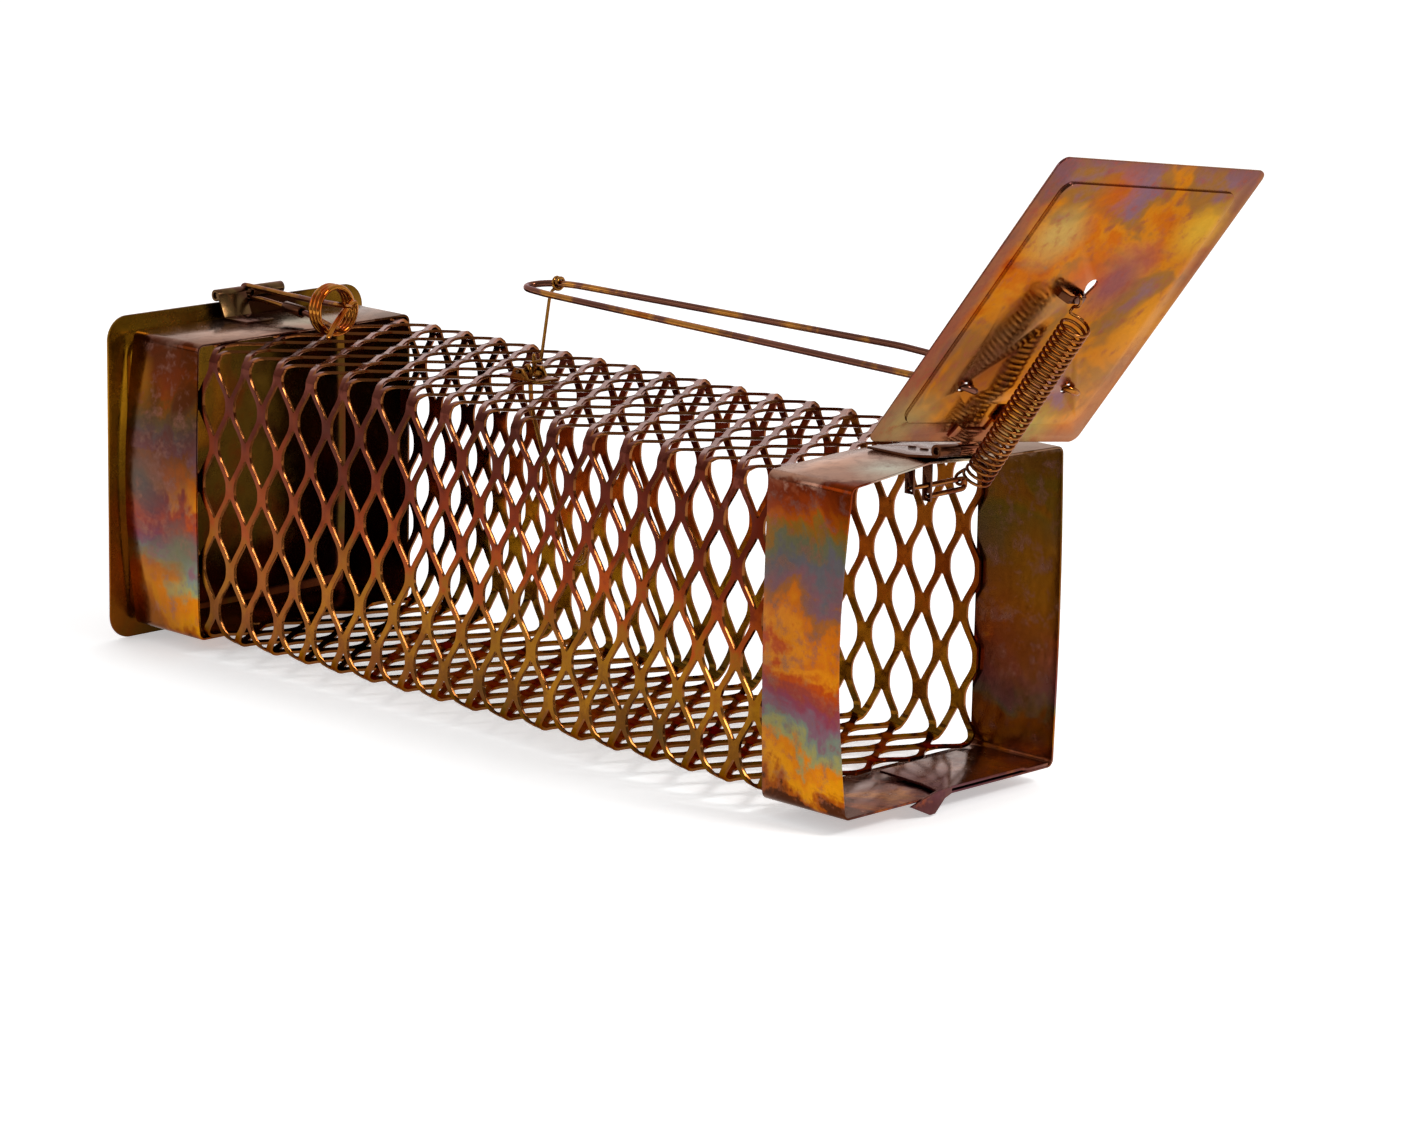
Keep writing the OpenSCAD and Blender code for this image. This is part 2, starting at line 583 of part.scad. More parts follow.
// Hairpin lever. Its cranked ends pass through the door and its closed end points rearwards.
function lever_end(s) = let (h = [panel_in + sheet_t / 2, s * lever_hole_y, hole_z],
    d = lever_slope) [opened([h[0] - 1.7, h[1] + 5, h[2] + 0.6]),
    opened(h - d * 1.7), opened(h), opened(h + d * 6)];
lever_slope = [1, 0, 0.6];
module lever() {
    near = lever_end(-1);
    far = lever_end(1);
    route = concat([near[0], near[1], near[3]],
        [[tip[0] + elbow, -tip_hw, tip[2] - 0.4], [tip[0] + 3, -tip_hw + 1.5, tip[2] - 0.2],
            tip, [tip[0] + 4, tip_hw - 0.5, tip[2] + 0.6], [tip[0] + elbow, tip_hw + 1, tip[2] + 1],
            [lerp(tip[0], far[3][0], 0.72), lerp(tip_hw, far[3][1], 0.78), tip[2] - 2.6]],
        [far[3], far[1], far[0]]);
    color(copper) wire(bent(route, 4), lever_d, 10);
}

// Trigger link: an eye on the far rod of the lever, and a leg whose foot lies across the cage in
// front of the bait hook's finger
clip_pin_d = 1.2;
hook_r = (clip_pin_d + hook_d) / 2 + pin_fit;
eye_y = tip_hw + 0.1;
eye_z = tip[2] + 0.72;
eye_r = (lever_d + link_d) / 2 + 0.35;
foot = [clip[0] + hook_r + (hook_d + link_d) / 2 + 0.3, 0, hook_pin_z + 3.1];
module trigger_link() {
    turns = 1.75;
    n = 21;
    top = [eye_x, eye_y, eye_z];
    eye = [for (i = [0:n]) let (a = -90 + 360 * turns * (1 - i / n))
        top + [1.5 - 3 * i / n, eye_r * cos(a), eye_r * sin(a)]];
    color(gold) wire(concat(eye, bent([eye[n] + [-0.6, -0.5, -0.3], top + [-2.4, -1.4, -5],
        foot + [0, 2.8, 2.6], foot + [0, 2.4, 0], foot - [0, 2.2, 0]], 1.2)), link_d, 8);
}

// Clip on the mesh: a folded channel with a slot for the bait hook between its two ears
clip_l = 18;
clip_w = 9;
module trigger_clip() {
    ear = hook_pin_z - clip[2] + 1.1;
    color(gold) translate(clip) difference() {
        union() {
            along_x(-clip_l / 2, clip_l) polygon([[-clip_w / 2, 0], [clip_w / 2, 0],
                [clip_w / 2, sheet_t], [-clip_w / 2, sheet_t]]);
            for (y = [-clip_w / 2, clip_w / 2 - sheet_t]) along_y(y, sheet_t)
                polygon([[-4.5, 0], [4.5, 0], [2, ear], [-2, ear]]);
        }
        translate([-2.2, -2.3, -1]) cube([5.6, 4.6, 3]);
        translate([0, 0, hook_pin_z - clip[2]]) rod_y(-clip_w, 2 * clip_w, clip_pin_d / 2);
    }
}

module clip_pin() {
    color(umber) translate([clip[0], 0, hook_pin_z])
        rod_y(-clip_w / 2 - 0.8, clip_w + 1.6, clip_pin_d / 2);
}

// Bait hook: a turn of wire round the clip's pin. Its finger stands up behind the link's foot.
module bait_hook() {
    low = cage_h - hook_drop;
    c = [clip[0], 0, hook_pin_z];
    loop = [for (i = [0:10]) let (a = -36 * i)
        c + [hook_r * cos(a), 1.1 - 0.195 * i, hook_r * sin(a)]];
    color(gold) wire(concat([c + [hook_r - 0.3, 1, 5.6], c + [hook_r - 0.05, 1.05, 1.6]], loop,
        bent([c + [hook_r + 0.1, -0.8, -2.4], c + [hook_r + 0.3, -0.4, -12],
            [c[0] + 14, 0, low + 16], [c[0] + 19, 0, low + 2], [c[0] + 25, 0, low],
            [c[0] + 28, 0, low + 5], [c[0] + 26, 0, low + 11]], 4)), hook_d, 8);
}

// Rear hinge: the fixed knuckle rises from the rear frame, the cover hangs on the same pin
module rear_knuckle() {
    color(mauve) difference() {
        union() {
            translate(rear_pin) rod_y(rear_y0, rear_knuckle_l, rear_r);
            along_y(rear_y0, rear_knuckle_l) polygon([[rear_x + 14, cage_h],
                [rear_x + 14, cage_h + sheet_t], [rear_x + 2.4, cage_h + sheet_t],
                [rear_pin[0] + rear_r, rear_pin[2]], [rear_pin[0] + rear_r - sheet_t, rear_pin[2]],
                [rear_x + 1.4, cage_h]]);
        }
        translate(rear_pin) rod_y(rear_y0 - 1, rear_knuckle_l + 2, pin_d / 2);
    }
}

module rear_pin() {
    color(umber) translate(rear_pin)
        rod_y(rear_y0 + 0.6, cover_y0 + cover_knuckle_l - rear_y0 - 1.2, pin_d / 2);
}

// The cover has a notch in its upper edge, clear of the keeper's loop
module rear_cover() {
    h = cage_h + 2 * cover_over;
    inset = 9;
    dish = 1.5;
    notch = 4.4;
    notch_z = rear_pin[2] - pin_d / 2 - keeper_d - 0.6;
    color(umber) translate([0, cover_y, 0]) {
        along_x(cover_in - sheet_t, sheet_t) difference() {
            translate([0, cage_h / 2]) round_rect(cover_w, h, cover_r);
            translate([0, cage_h / 2]) round_rect(cover_w - 2 * inset, h - 2 * inset, 6);
            translate([keeper_y - cover_y - notch / 2, notch_z]) square([notch, 6]);
        }
        along_x(cover_in - sheet_t, dish + sheet_t) translate([0, cage_h / 2]) difference() {
            round_rect(cover_w - 2 * inset + 2 * sheet_t, h - 2 * inset + 2 * sheet_t, 6);
            round_rect(cover_w - 2 * inset, h - 2 * inset, 5.2);
        }
        along_x(cover_in + dish - sheet_t, sheet_t) translate([0, cage_h / 2])
            round_rect(cover_w - 2 * inset + sheet_t, h - 2 * inset + sheet_t, 5.6);
    }
}

module cover_knuckle() {
    top = cage_h + cover_over;
    color(mauve) difference() {
        union() {
            translate(rear_pin) rod_y(cover_y0, cover_knuckle_l, rear_r);
            along_y(cover_y0, cover_knuckle_l) polygon([[cover_in - 2 * sheet_t, top - 7],
                [cover_in - sheet_t, top - 7], [cover_in - sheet_t, rear_pin[2]],
                [cover_in - 2 * sheet_t, rear_pin[2]]]);
        }
        translate(rear_pin) rod_y(cover_y0 - 1, cover_knuckle_l + 2, pin_d / 2 + pin_fit);
    }
}

// Keeper: a hairpin of wire looped round the rear pin between the knuckles
keeper_y = (rear_y0 + rear_knuckle_l + cover_y0) / 2;
keeper_z = cage_h + keeper_d / 2;
// The straight part of its lower leg
keeper_leg = [[rear_x + 6, keeper_y, rear_pin[2] - (pin_d + keeper_d) / 2 + 0.35],
    [rear_x + 0.54 * keeper_reach, keeper_y - 1, keeper_z + 3.4]];
module keeper() {
    k = keeper_d;
    r = (pin_d + k) / 2 + 0.05;
    loop = [for (i = [0:8]) let (a = 110 + 20 * i) rear_pin + [r * cos(a), keeper_y, r * sin(a)]];
    color(copper) wire(bent(concat([[rear_x + keeper_reach, keeper_y - 3.5, keeper_z + keeper_up],
        [rear_x + 0.6 * keeper_reach, keeper_y - 1, rear_pin[2] + 1.6]], loop,
        keeper_leg, [[rear_x + 0.95 * keeper_reach, keeper_y - 4, keeper_z + 0.3]]), 2, 3),
        keeper_d, 8);
}

// Tie ring: loose turns of wire round both legs of the keeper, with its tail down on the mesh
tie_d = 1.4;
module tie_ring() {
    turns = 3.25;
    n = 52;
    spread = 5.8;
    c = [rear_x + 0.8 * keeper_reach, keeper_y - 2.5, cage_h - sheet_t + ring_r + tie_d / 2];
    ring = [for (i = [0:n]) let (a = -60 + 360 * turns * i / n)
        c + [(i / n - 0.5) * spread, ring_r * cos(a), ring_r * sin(a)]];
    color(copper) wire(concat([c + [-3.5, 9, -ring_r + 0.2]], ring,
        [c + [4.5, -5, 2 - ring_r], c + [7, -8, 0.1 - ring_r]]), tie_d, 8);
}

// Short sleeve threaded on the keeper's lower leg
module keeper_sleeve() {
    u = unit(keeper_leg[1] - keeper_leg[0]);
    color(umber) translate(keeper_leg[0] + 12.6 * u) rotate([0, acos(u[2]), atan2(u[1], u[0])])
        difference() {
            cylinder(9, keeper_d / 2 + 1, keeper_d / 2 + 1);
            translate([0, 0, -1]) cylinder(11, keeper_d / 2 + 0.3, keeper_d / 2 + 0.3);
        }
}

front_frame();
sill_lap();
rear_frame();
mesh_left();
mesh_top();
mesh_right();
mesh_floor();
hinge_strap();
for (i = [0, 1]) strap_rivet(i);
hinge_pin();
for (i = [0, 1]) anchor_lug(i);
spring_anchor();
door_plate();
door_leaf();
door_gusset();
spring_bridge();
door_spring();
lever();
trigger_link();
trigger_clip();
clip_pin();
bait_hook();
rear_knuckle();
rear_pin();
rear_cover();
cover_knuckle();
keeper();
tie_ring();
keeper_sleeve();
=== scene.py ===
"""Live-capture cage trap: skins, finishes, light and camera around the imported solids.

X runs along the cage with the drop door at its + end, Y runs across it and Z up. The near side is
the one at -Y, where the camera stands. Sizes are in millimetres; MM turns them into metres.
"""

from math import cos, pi, radians, sin

import bpy
from mathutils import Matrix, Vector


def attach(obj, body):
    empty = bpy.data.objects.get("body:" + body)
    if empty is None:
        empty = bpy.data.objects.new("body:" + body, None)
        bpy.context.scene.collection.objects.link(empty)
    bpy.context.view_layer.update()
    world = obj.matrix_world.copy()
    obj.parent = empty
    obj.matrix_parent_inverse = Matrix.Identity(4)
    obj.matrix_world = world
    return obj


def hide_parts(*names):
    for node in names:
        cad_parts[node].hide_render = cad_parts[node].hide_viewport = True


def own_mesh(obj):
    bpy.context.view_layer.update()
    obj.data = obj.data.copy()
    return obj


MM = 0.001

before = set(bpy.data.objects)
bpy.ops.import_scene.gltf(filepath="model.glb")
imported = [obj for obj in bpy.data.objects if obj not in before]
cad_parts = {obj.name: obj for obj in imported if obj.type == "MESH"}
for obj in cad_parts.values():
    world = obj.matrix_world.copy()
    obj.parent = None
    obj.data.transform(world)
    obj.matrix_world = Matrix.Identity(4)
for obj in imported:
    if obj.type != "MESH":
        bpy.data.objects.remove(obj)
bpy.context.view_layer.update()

# ---------------------------------------------------------------- driving sizes
cage_l = 327.6
cage_w = 93.4
cage_h = 100.0
corner_r = 2.6
sheet_t = 0.8
front_l = 33.3
rear_l = 33.5
front_x = front_l / 2
rear_x = front_x - cage_l
flat_y = cage_w / 2 - corner_r
flat_z = cage_h - corner_r

# expanded sheet: thickness, strand and bond, then the step from one column or row to the next
mesh_t = 1.0
strand_w = 2.6
bond_l = 4.4
mesh_col = 16.06 / 2
mesh_row = 27.66 / 2
first_row_z = 95.3
first_column = rear_x + 40.54
# ends of the sheet, tucked into the two frames
mesh_tuck = 2.5
frame_a = rear_x + rear_l
frame_b = front_x - front_l
mesh_x0 = frame_a - mesh_tuck
mesh_x1 = frame_b + mesh_tuck
# height of a strand's proud edge over the sheet's middle, which fades out near the frames
mesh_relief = 0.45
relief_fade = 8
# share of its sideways step that a strand makes in its first half
strand_lean = 0.42
# the sheet's middle lies under the frames' inner face, and bends at the cage's four corners
mesh_mid = corner_r - sheet_t - 0.6
fold_r = 4.2
fold_cuts = (0, 0.25, 0.5, 0.75, 1)
fold_y = flat_y + mesh_mid - fold_r
fold_top = flat_z + mesh_mid - fold_r
fold_foot = corner_r - mesh_mid + fold_r

# drop door and its slanted pin
pin_out = 2.0
pin_up = 5.4
pin = Vector((front_x + pin_out, 0, cage_h + pin_up))
cant = 4.3
open_angle = 146.7
door_x = 17.2
door_w = 96.7
door_h = 105.5
door_top = 101.9
door_turn = (
    Matrix.Rotation(radians(-cant), 3, "X")
    @ Matrix.Rotation(radians(-open_angle), 3, "Y")
    @ Matrix.Rotation(radians(cant), 3, "X")
)


def opened(p):
    """A point of the closed door, carried to the set position."""
    return pin + door_turn @ (Vector(p) - pin)


# ---------------------------------------------------------------- modelling helpers
def only(piece):
    """Selects one piece and nothing else."""
    bpy.ops.object.select_all(action="DESELECT")
    piece.hide_set(False)
    piece.select_set(True)
    bpy.context.view_layer.objects.active = piece


def open_whole(piece):
    """Opens a piece for editing with all of it selected."""
    only(piece)
    bpy.ops.object.mode_set(mode="EDIT")
    bpy.ops.mesh.select_all(action="SELECT")


def close():
    """Leaves editing."""
    bpy.ops.object.mode_set(mode="OBJECT")


def apply_modifier(piece, kind, **settings):
    """Puts a modifier with its settings on a piece and applies it."""
    only(piece)
    modifier = piece.modifiers.new(kind.title(), kind)
    for key, value in settings.items():
        setattr(modifier, key, value)
    bpy.ops.object.modifier_apply(modifier=modifier.name)


def smooth(piece, angle):
    """Smooth shading, with edges sharper than the angle kept crisp."""
    only(piece)
    bpy.ops.object.shade_smooth_by_angle(angle=radians(angle))


def finish_piece(piece, name, body, finish, nodes):
    """Names a piece, gives it its finish, and lets it ride in the place of its solids."""
    piece.name = piece.data.name = name
    piece.data.materials.clear()
    piece.data.materials.append(finish)
    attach(piece, body)
    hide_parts(*nodes)
    return piece


def welded_copy(node):
    """A copy of a solid with its loose triangles merged into one skin."""
    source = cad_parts[node]
    piece = bpy.data.objects.new(node + "_skin", source.data.copy())
    bpy.context.scene.collection.objects.link(piece)
    open_whole(piece)
    bpy.ops.mesh.remove_doubles(threshold=0.002 * MM)
    close()
    if piece.data.has_custom_normals:
        bpy.ops.mesh.customdata_custom_splitnormals_clear()
    return piece


def pressed(node, body, finish, edge):
    """Sheet part: flat faces are joined up and every edge is eased."""
    piece = welded_copy(node)
    open_whole(piece)
    bpy.ops.mesh.dissolve_limited(angle_limit=radians(0.5))
    close()
    apply_modifier(
        piece, "BEVEL", width=edge * MM, segments=2, limit_method="ANGLE",
        angle_limit=radians(32), use_clamp_overlap=True, harden_normals=False,
    )
    smooth(piece, 35)
    return finish_piece(piece, node + "_sheet", body, finish, [node])


def drawn(node, body, finish, swell):
    """Wire part: its facets are rounded off and the lost thickness is put back."""
    piece = welded_copy(node)
    open_whole(piece)
    bpy.ops.mesh.tris_convert_to_quads(face_threshold=radians(60), shape_threshold=radians(80))
    close()
    apply_modifier(piece, "SUBSURF", levels=1, render_levels=1)
    apply_modifier(piece, "DISPLACE", strength=swell * MM, mid_level=0)
    smooth(piece, 60)
    return finish_piece(piece, node + "_wire", body, finish, [node])


# ---------------------------------------------------------------- finishes
# strengths with which a plate's border, the painted highlight along marked edges, and specks cover
# the tint
border_strength = 0.7
painted_glint_strength = 0.8
speck_strength = 0.7
# brightest that the wide unevenness makes a finish, and the range of the fine one
wide_bright = 1.12
fine_range = (0.94, 1.06)
# a noise pattern's values lie nearly all between these two
noise_span = (0.3, 0.7)


def linear(code):
    """Linear colour of a hexadecimal tone."""
    parts = [int(code[i : i + 2], 16) / 255 for i in (0, 2, 4)]
    return [c / 12.92 if c <= 0.04045 else ((c + 0.055) / 1.055) ** 2.4 for c in parts] + [1]


def tinted_steel(name, tones, drift, mottle, cloud, rough, height=(0, 100), grain=190, shift=0.0,
                 patches=(), speck=None, edge="E8D8E0", gloom=0.6, painted_glint=None, painted_shade_edge=None,
                 border=None):
    """Passivated steel with its rainbow tint, and such painted light and shade as its arguments
    ask for.

    tones is a list of (place, colour). The place runs from 0 to 1 between the two heights.
    drift and mottle say how far the clouds and the fine grain push that place about.
    cloud and grain are the scales of the two patterns, and shift moves them along.
    rough is the roughness. edge is the tint at a grazing view, and painted_shade_edge a dimmer one
    for the lowest few millimetres, which paints shade there. gloom is the brightness of the
    dullest areas.
    patches are soft spots: (centre, radius, colour, strength). speck is the colour of specks.
    painted_glint is the colour of a painted highlight along the edges that a piece marks in its
    painted_glint_edge attribute.
    border is a band round a plate: its centre, the directions across and up, the two half
    sizes, the band's width and its colour.
    """
    material = bpy.data.materials.new(name)
    material.use_nodes = True
    tree = material.node_tree
    tree.nodes.clear()
    link = tree.links.new

    def add(kind, **sockets):
        node = tree.nodes.new(kind)
        for key, value in sockets.items():
            node.inputs[key].default_value = value
        return node

    def maths(operation, *values):
        node = tree.nodes.new("ShaderNodeMath")
        node.operation = operation
        for i, value in enumerate(values):
            if isinstance(value, (int, float)):
                node.inputs[i].default_value = value
            else:
                link(value, node.inputs[i])
        return node.outputs[0]

    def vector_maths(operation, a, b, result):
        node = tree.nodes.new("ShaderNodeVectorMath")
        node.operation = operation
        link(a, node.inputs[0])
        node.inputs[1].default_value = b
        return node.outputs[result]

    def spread(value, low, high, to_low, to_high):
        """Carries the range from low to high over to the range from to_low to to_high."""
        node = tree.nodes.new("ShaderNodeMapRange")
        for i, number in enumerate((low, high, to_low, to_high), start=1):
            node.inputs[i].default_value = number
        link(value, node.inputs[0])
        return node.outputs[0]

    def mixed(factor, a, tone):
        """Colour a, which is a tone or comes from a node, covered by another tone."""
        node = tree.nodes.new("ShaderNodeMix")
        node.data_type = "RGBA"
        link(factor, node.inputs[0])
        if isinstance(a, str):
            node.inputs[6].default_value = linear(a)
        else:
            link(a, node.inputs[6])
        node.inputs[7].default_value = linear(tone)
        return node.outputs[2]

    # the patterns
    place = tree.nodes.new("ShaderNodeTexCoord").outputs["Object"]
    moved = tree.nodes.new("ShaderNodeMapping")
    moved.inputs["Location"].default_value = (shift, shift * 0.7, shift * 0.4)
    link(place, moved.inputs["Vector"])

    clouds = add("ShaderNodeTexNoise", Scale=cloud, Detail=4, Roughness=0.6, Distortion=0.6)
    speckle = add("ShaderNodeTexNoise", Scale=grain, Detail=5, Roughness=0.7)
    wide = add("ShaderNodeTexNoise", Scale=cloud * 0.45, Detail=2)
    fleck = add("ShaderNodeTexNoise", Scale=grain * 4, Detail=2)
    for noise in (clouds, speckle, wide, fleck):
        link(moved.outputs["Vector"], noise.inputs["Vector"])

    # the place on the scale of tones
    axes = tree.nodes.new("ShaderNodeSeparateXYZ")
    link(place, axes.inputs["Vector"])
    low, high = height[0] * MM, height[1] * MM
    up = maths("MULTIPLY_ADD", axes.outputs["Z"], 1 / (high - low), -low / (high - low))
    pushed = maths("MULTIPLY_ADD", clouds.outputs["Fac"], 2 * drift, -drift)
    fine = maths("MULTIPLY_ADD", speckle.outputs["Fac"], 2 * mottle, -mottle)
    where = maths("ADD", maths("ADD", up, pushed), fine)

    ramp = tree.nodes.new("ShaderNodeValToRGB")
    ramp.color_ramp.interpolation = "EASE"
    stops = ramp.color_ramp.elements
    while len(stops) < len(tones):
        stops.new(0.5)
    for stop, (position, tone) in zip(stops, sorted(tones)):
        stop.position = position
        stop.color = linear(tone)
    link(where, ramp.inputs["Fac"])
    colour = ramp.outputs["Color"]

    if border:
        centre, across, rise, half_across, half_rise, band, tone = border
        offset = vector_maths("SUBTRACT", place, [c * MM for c in centre], "Vector")
        reach = []
        for direction, half in ((across, half_across), (rise, half_rise)):
            along = vector_maths("DOT_PRODUCT", offset, direction, "Value")
            reach.append(maths("SUBTRACT", maths("ABSOLUTE", along), (half - band) * MM))
        outside = maths("MULTIPLY_ADD", pushed, 12 * MM, maths("MAXIMUM", *reach))
        colour = mixed(spread(outside, -2 * MM, 3 * MM, 0, border_strength), colour, tone)
    for centre, radius, tone, strength in patches:
        gap = vector_maths("DISTANCE", place, [c * MM for c in centre], "Value")
        ragged = maths("MULTIPLY_ADD", pushed, radius * MM * 0.9 / drift, gap)
        soft = spread(ragged, radius * MM, radius * MM * 0.15, 0, strength)
        colour = mixed(soft, colour, tone)
    # a brighter colour on the marked edges, a painted highlight
    if painted_glint:
        glint_marks = tree.nodes.new("ShaderNodeAttribute")
        glint_marks.attribute_name = "painted_glint_edge"
        colour = mixed(maths("MULTIPLY", glint_marks.outputs["Fac"], painted_glint_strength), colour, painted_glint)
    if speck:
        specks = spread(speckle.outputs["Fac"], 0.52, 0.68, 0, speck_strength)
        colour = mixed(specks, colour, speck)

    # uneven brightness
    shade = maths("MULTIPLY", spread(wide.outputs["Fac"], *noise_span, gloom, wide_bright),
                  spread(fleck.outputs["Fac"], *noise_span, *fine_range))
    deep = tree.nodes.new("ShaderNodeVectorMath")
    deep.operation = "SCALE"
    link(colour, deep.inputs[0])
    link(shade, deep.inputs["Scale"])

    # the metal itself, a little wavy
    ripple = add("ShaderNodeBump", Strength=0.1, Distance=0.4 * MM)
    link(clouds.outputs["Fac"], ripple.inputs["Height"])

    surface = add("ShaderNodeBsdfPrincipled", Metallic=1.0)
    surface.inputs["Specular Tint"].default_value = linear(edge)
    # a dimmer grazing tint on the lowest few millimetres paints the shade on the cage's floor
    if painted_shade_edge:
        above = spread(axes.outputs["Z"], 2 * MM, 8 * MM, 0, 1)
        link(mixed(above, painted_shade_edge, edge), surface.inputs["Specular Tint"])
    link(deep.outputs[0], surface.inputs["Base Color"])
    worn = spread(speckle.outputs["Fac"], *noise_span, rough - 0.07, rough + 0.1)
    link(worn, surface.inputs["Roughness"])
    link(ripple.outputs["Normal"], surface.inputs["Normal"])
    output = tree.nodes.new("ShaderNodeOutputMaterial")
    link(surface.outputs["BSDF"], output.inputs["Surface"])
    return material


def on_door(across, up):
    """A place on the door: across from 0 to 1, and up from the hinge, in the set position."""
    return opened((door_x, (across - 0.5) * door_w, door_top - door_h * up))


frame_finish = tinted_steel(
    "tinted_frame_steel_with_painted_light",
    # the last, palest tone paints the sheen on the frames' tops
    [(0.0, "4A2410"), (0.03, "9A4A0C"), (0.08, "C8800C"), (0.15, "BE6C0E"), (0.2, "86804E"),
     (0.24, "6A7062"), (0.28, "70505A"), (0.34, "7A3644"), (0.4, "86362A"), (0.45, "A03E0C"),
     (0.5, "BC6E0E"), (0.55, "AE5A0E"), (0.59, "885026"), (0.63, "6E4A4E"), (0.69, "585254"),
     (0.75, "5C583E"), (0.8, "7E5418"), (0.84, "9A4608"), (0.9, "802E08"), (0.96, "662208"),
     (1.0, "A07460")],
    drift=0.26, mottle=0.08, cloud=36, grain=170, speck="764E42", gloom=0.68, edge="FFF0E8",
    rough=0.19,
    # the four large dark patches on the far sides, at y 48, paint the dark reflection of the
    # cage's inside; the smaller ones there vary the tint
    patches=[((0, 48, 75), 62, "54400E", 0.95), ((0, 48, 25), 56, "66330A", 0.95),
             ((12, 48, 60), 26, "74460C", 0.8), ((-14, 50, 40), 24, "6E2E0A", 0.7),
             ((-294, 48, 75), 60, "3A2A10", 0.95), ((-294, 48, 25), 56, "3E2008", 0.95),
             ((-290, -58, 84), 50, "481E06", 0.97), ((-294, -54, 42), 25, "4E3236", 0.9),
             ((-305, -50, 50), 14, "44423E", 0.8), ((-284, -50, 30), 13, "5C5A42", 0.8),
             ((-294, -52, 6), 22, "7E440A", 0.85), ((-311, -47, 84), 13, "946008", 0.9),
             # pale patches on the frames' tops: painted sheen
             ((8, 4, 103), 22, "D4C49C", 0.9), ((-10, -30, 100), 18, "D69A74", 0.9),
             ((10, -26, 102), 14, "C4CAB8", 0.8), ((-6, 34, 101), 18, "A87A58", 0.8),
             ((-294, -22, 108), 24, "B89886", 0.9), ((-294, 10, 100), 20, "9A9A7C", 0.8),
             ((6, 8, -1), 42, "6A3E46", 0.9), ((6, -22, -5), 23, "5E3A3C", 0.95)],
)
# expanded sheet: its mauve last tone at the top paints the sheen of the top faces, painted_glint
# the highlights along the strands' edges, and painted_shade_edge the shade on the floor sheet
mesh_finish = tinted_steel(
    "tinted_expanded_steel_with_painted_light",
    [(0.0, "6A4A16"), (0.1, "7A4A0A"), (0.25, "96620C"), (0.38, "8A5008"), (0.5, "943C08"),
     (0.64, "702404"), (0.8, "541604"), (0.93, "481608"), (1.0, "5E2A1E")],
    drift=0.26, mottle=0.22, cloud=44, rough=0.15, gloom=0.5, edge="FFE4DE", painted_glint="8E562C",
    painted_shade_edge="B09682",
    patches=[((-40, 46, 82), 42, "8E5012", 0.85), ((-40, 46, 40), 40, "8A420C", 0.7),
             ((-245, -48, 34), 52, "74340E", 0.75), ((-190, -48, 4), 34, "7A3C10", 0.6)],
)
door_finish = tinted_steel(
    "tinted_door_steel_with_painted_shadow",
    [(0.1, "60240C"), (0.28, "84320C"), (0.36, "70303C"), (0.42, "983E0A"), (0.53, "AE580A"),
     (0.64, "B46A10"), (0.76, "8A5A28"), (0.9, "765460")],
    height=(-400, 400), drift=0.75, mottle=0.12, cloud=24, shift=0.37, speck="8A4030", gloom=0.72,
    edge="FFE2C8", rough=0.17,
    patches=[(on_door(0.2, 0.76), 13, "AC9050", 0.8), (on_door(0.35, 0.9), 14, "A84A10", 0.8),
             (on_door(0.62, 0.6), 16, "7E4650", 0.85), (on_door(0.86, 0.8), 13, "C0942C", 0.85),
             # the dark patch at (0.28, 0.3) paints the spring's shadow on the door
             (on_door(0.45, 0.62), 13, "A83E0E", 0.8), (on_door(0.28, 0.3), 24, "6A2A18", 0.8),
             (on_door(0.9, 0.45), 15, "CC8410", 0.8), (on_door(0.98, 0.2), 14, "9A4A14", 0.7),
             (on_door(0.7, 0.06), 15, "948A48", 0.85), (on_door(0.1, 0.08), 14, "8A7A50", 0.8),
             (on_door(0.6, 0.3), 12, "A84E10", 0.7)],
    border=(on_door(0.5, 0.53), door_turn @ Vector((0, 1, 0)), door_turn @ Vector((0, 0, 1)),
            48, 56, 7.5, "704442"),
)
# rear cover: tinted steel whose near-black tones paint the shade on it inside the cage, and whose
# golden patches on its top tab and near rim, which stand out of the cage, paint the light there
cover_finish = tinted_steel(
    "tinted_cover_steel_with_painted_light",
    [(0.15, "200C05"), (0.35, "42190A"), (0.5, "5A2A0A"), (0.62, "50380E"), (0.8, "34180A")],
    height=(-300, 300), drift=0.5, mottle=0.07, cloud=22, gloom=0.6, rough=0.22,
    patches=[((-313, -54, 78), 44, "B07A16", 0.9), ((-313, -54, 20), 40, "8A4C0E", 0.9),
             ((-313, 46, 108), 26, "A8741A", 0.95), ((-313, -20, 108), 26, "8A6420", 0.85)],
)
fitting_finish = tinted_steel(
    "tinted_fitting_steel",
    [(0.2, "3A1C14"), (0.42, "5A3A30"), (0.6, "66483C"), (0.74, "624A2C"), (0.9, "4E3020")],
    height=(-200, 200), drift=0.6, mottle=0.12, cloud=60, rough=0.2, edge="FFE8E4",
)
wire_finish = tinted_steel(
    "tinted_wire_steel",
    [(0.25, "3A1406"), (0.42, "6E300C"), (0.55, "965218"), (0.7, "AA7030"), (0.85, "6E4434")],
    height=(-200, 200), drift=0.7, mottle=0.14, cloud=45, rough=0.16,
)
tie_finish = tinted_steel(
    "tinted_tie_steel",
    [(0.25, "4A1204"), (0.45, "7E2C08"), (0.6, "A84A10"), (0.8, "B0702A")],
    height=(-200, 200), drift=0.7, mottle=0.1, cloud=70, rough=0.08, gloom=0.8,
)
trigger_finish = tinted_steel(
    "tinted_trigger_steel",
    [(0.25, "40160A"), (0.45, "6E300E"), (0.6, "8A4A18"), (0.8, "A06C2C")],
    height=(-200, 200), drift=0.6, mottle=0.12, cloud=60, rough=0.16,
)
